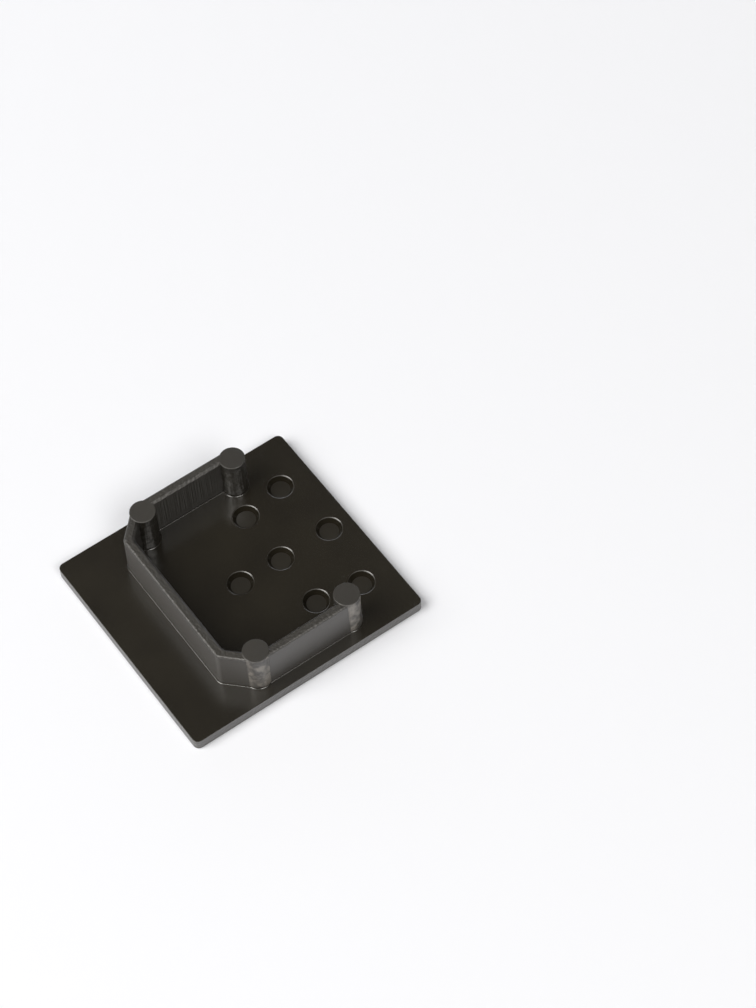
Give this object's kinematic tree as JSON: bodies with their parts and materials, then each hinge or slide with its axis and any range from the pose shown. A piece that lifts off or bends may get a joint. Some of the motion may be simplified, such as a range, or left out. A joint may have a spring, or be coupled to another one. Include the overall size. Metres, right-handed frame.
{
  "type": "profile end cap",
  "caption": "Flat rectangular end cap for a C-shaped rail, with a C-shaped locating rib and press-in pins on its inner face.",
  "frame": {"origin": "centre of the cover plate's outer face, the face it lies on", "axes": "+Z from the outer face towards the rib and pins, +X along the longer plate side towards the rib's open side"},
  "size_m": [0.03, 0.028, 0.0071],
  "materials": {
    "end_cap": "black injection-moulded plastic, fine spark-eroded grain on the outer face, smooth inner side"
  },
  "bodies": {
    "root": {"end_cap": "end_cap"}
  },
  "joints": []
}
